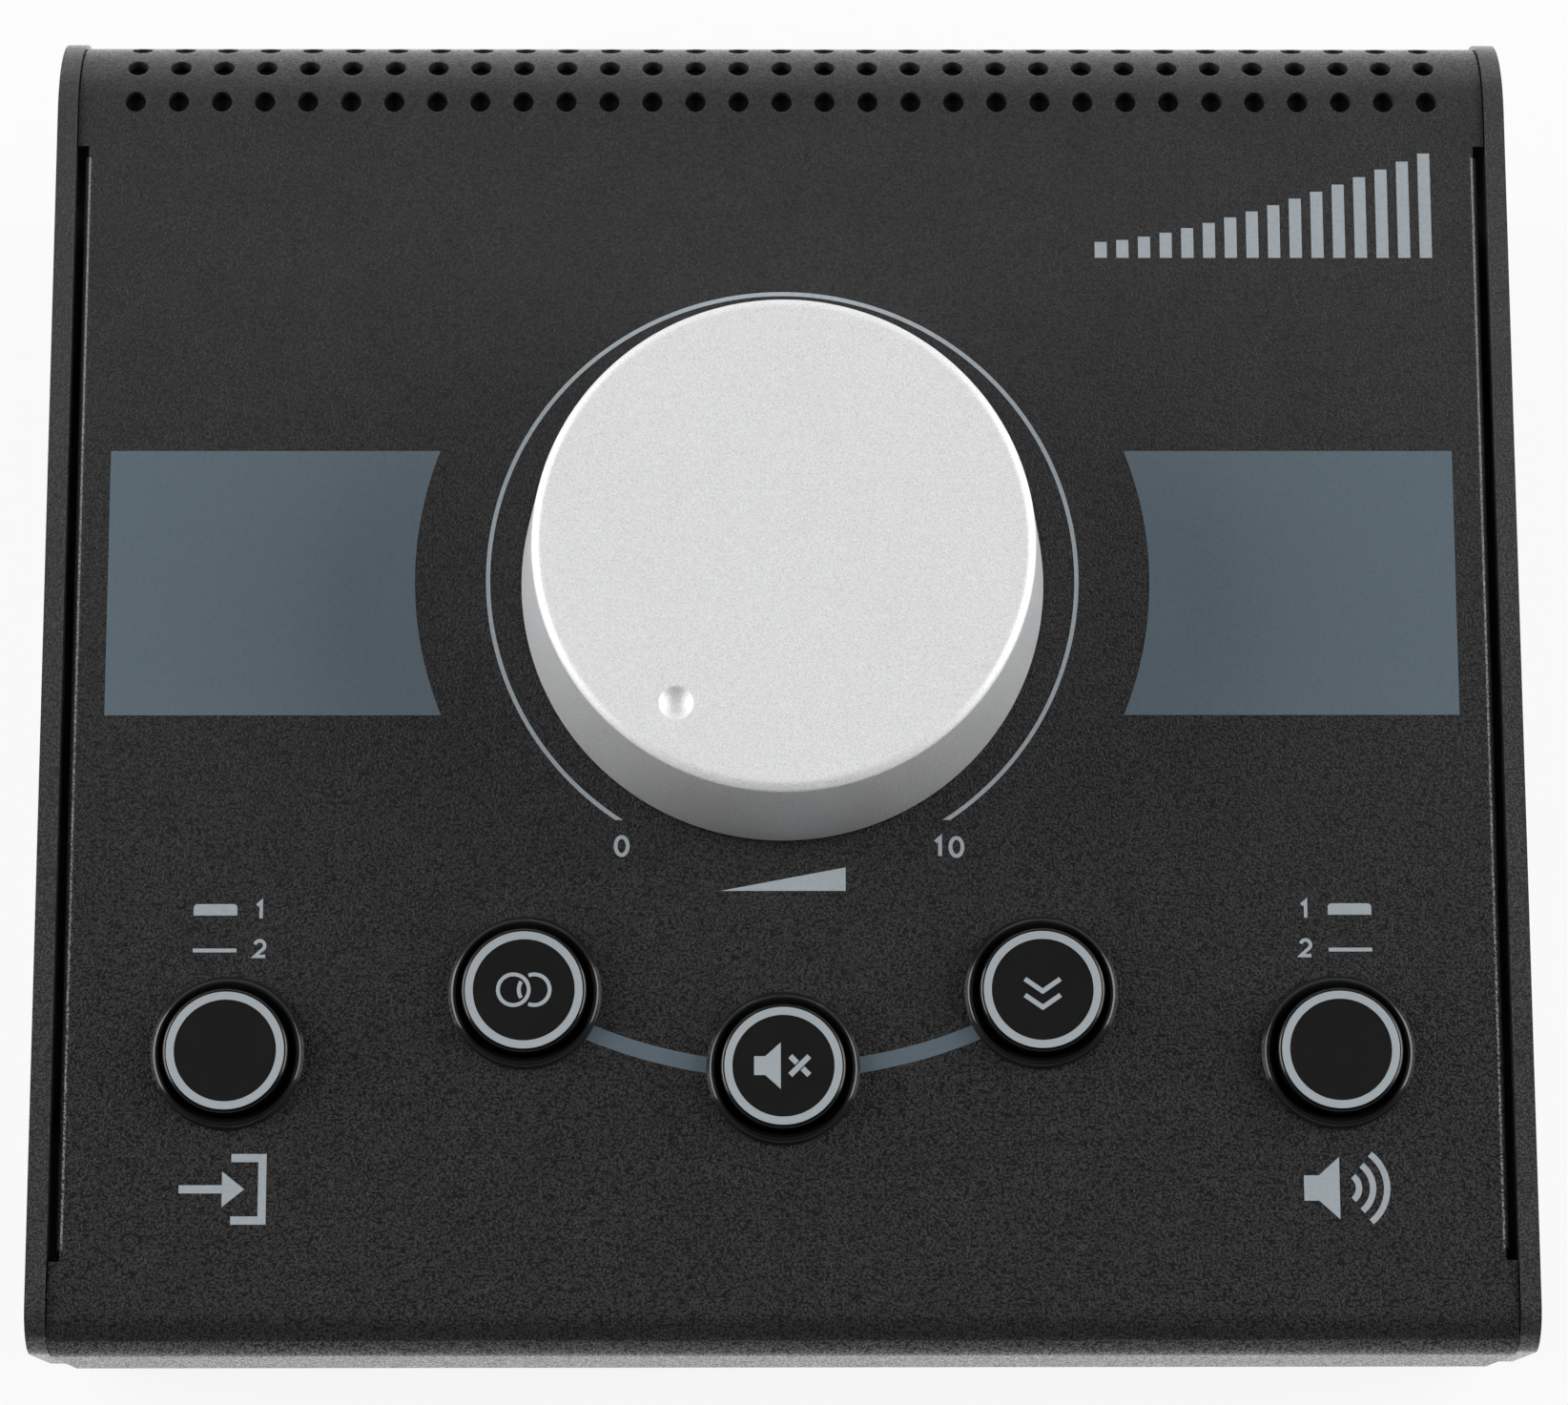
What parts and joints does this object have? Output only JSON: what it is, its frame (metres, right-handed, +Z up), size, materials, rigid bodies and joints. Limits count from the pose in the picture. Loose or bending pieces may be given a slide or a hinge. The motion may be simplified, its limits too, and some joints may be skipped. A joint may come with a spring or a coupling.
{
  "type": "studio monitor controller",
  "caption": "Sloped desktop volume controller with a large dial, a front row of push buttons, a vented rear roll and rear jack sockets.",
  "frame": {"origin": "on the surface it stands on, under the middle of the case", "axes": "+X to the user's right along the case, +Y from the user to the rear sockets, +Z up"},
  "size_m": [0.195, 0.1806, 0.0788],
  "materials": {
    "black_powder_coat": "fine textured black powder coat",
    "aluminium": "satin anodised, turned",
    "steel": "nickel plated",
    "dark_steel": "black oxide",
    "gloss_black": "glossy",
    "matt_black": "fine matt",
    "rubber": "matt",
    "green_board": "solder mask",
    "grey_cable": "smooth",
    "natural_nylon": "smooth"
  },
  "bodies": {
    "housing": {"top_cover": "black_powder_coat", "bottom_tray": "black_powder_coat", "left_side_plate": "black_powder_coat", "right_side_plate": "black_powder_coat", "foot_front_left": "rubber", "side_screw_front_left": "dark_steel", "foot_front_right": "rubber", "side_screw_front_right": "dark_steel", "foot_rear_left": "rubber", "side_screw_rear_left": "dark_steel", "foot_rear_right": "rubber", "side_screw_rear_right": "dark_steel", "control_board": "green_board", "jack_board": "green_board", "ribbon_cable": "grey_cable", "pot_housing": "steel", "pot_washer": "steel", "pot_nut": "steel", "source_bezel": "gloss_black", "source_switch_housing": "natural_nylon", "mono_bezel": "gloss_black", "mono_switch_housing": "natural_nylon", "mute_bezel": "gloss_black", "mute_switch_housing": "natural_nylon", "dim_bezel": "gloss_black", "dim_switch_housing": "natural_nylon", "monitor_bezel": "gloss_black", "monitor_switch_housing": "natural_nylon", "jack_1": "matt_black", "jack_nut_1": "steel", "jack_2": "matt_black", "jack_nut_2": "steel", "jack_3": "matt_black", "jack_nut_3": "steel", "jack_4": "matt_black", "jack_nut_4": "steel", "jack_5": "matt_black", "jack_nut_5": "steel", "jack_6": "matt_black", "jack_nut_6": "steel", "jack_7": "matt_black", "jack_nut_7": "steel", "jack_8": "matt_black", "jack_nut_8": "steel", "mini_jack": "matt_black", "mini_jack_nut": "steel"},
    "volume_dial": {"volume_knob": "aluminium", "knob_insert": "matt_black", "pot_shaft": "aluminium"},
    "source_button": {"source_button_cap": "matt_black", "source_switch_plunger": "natural_nylon"},
    "mono_button": {"mono_button_cap": "matt_black", "mono_switch_plunger": "natural_nylon"},
    "mute_button": {"mute_button_cap": "matt_black", "mute_switch_plunger": "natural_nylon"},
    "dim_button": {"dim_button_cap": "matt_black", "dim_switch_plunger": "natural_nylon"},
    "monitor_button": {"monitor_button_cap": "matt_black", "monitor_switch_plunger": "natural_nylon"}
  },
  "joints": [
    {"name": "volume_turn", "type": "hinge", "parent": "housing", "child": "volume_dial", "pos_m": [0, 0.00865, 0.04859], "axis": [0, -0.1582, 0.9874], "range_deg": [-294, 0]},
    {"name": "source_press", "type": "slide", "parent": "housing", "child": "source_button", "axis": [0, -0.1582, 0.9874], "range_m": [-0.0025, 0], "stiffness_N_per_m": 800, "springref_m": 0.0008},
    {"name": "mono_press", "type": "slide", "parent": "housing", "child": "mono_button", "axis": [0, -0.1582, 0.9874], "range_m": [-0.0025, 0], "stiffness_N_per_m": 800, "springref_m": 0.0008},
    {"name": "mute_press", "type": "slide", "parent": "housing", "child": "mute_button", "axis": [0, -0.1582, 0.9874], "range_m": [-0.0025, 0], "stiffness_N_per_m": 800, "springref_m": 0.0008},
    {"name": "dim_press", "type": "slide", "parent": "housing", "child": "dim_button", "axis": [0, -0.1582, 0.9874], "range_m": [-0.0025, 0], "stiffness_N_per_m": 800, "springref_m": 0.0008},
    {"name": "monitor_press", "type": "slide", "parent": "housing", "child": "monitor_button", "axis": [0, -0.1582, 0.9874], "range_m": [-0.0025, 0], "stiffness_N_per_m": 800, "springref_m": 0.0008}
  ]
}
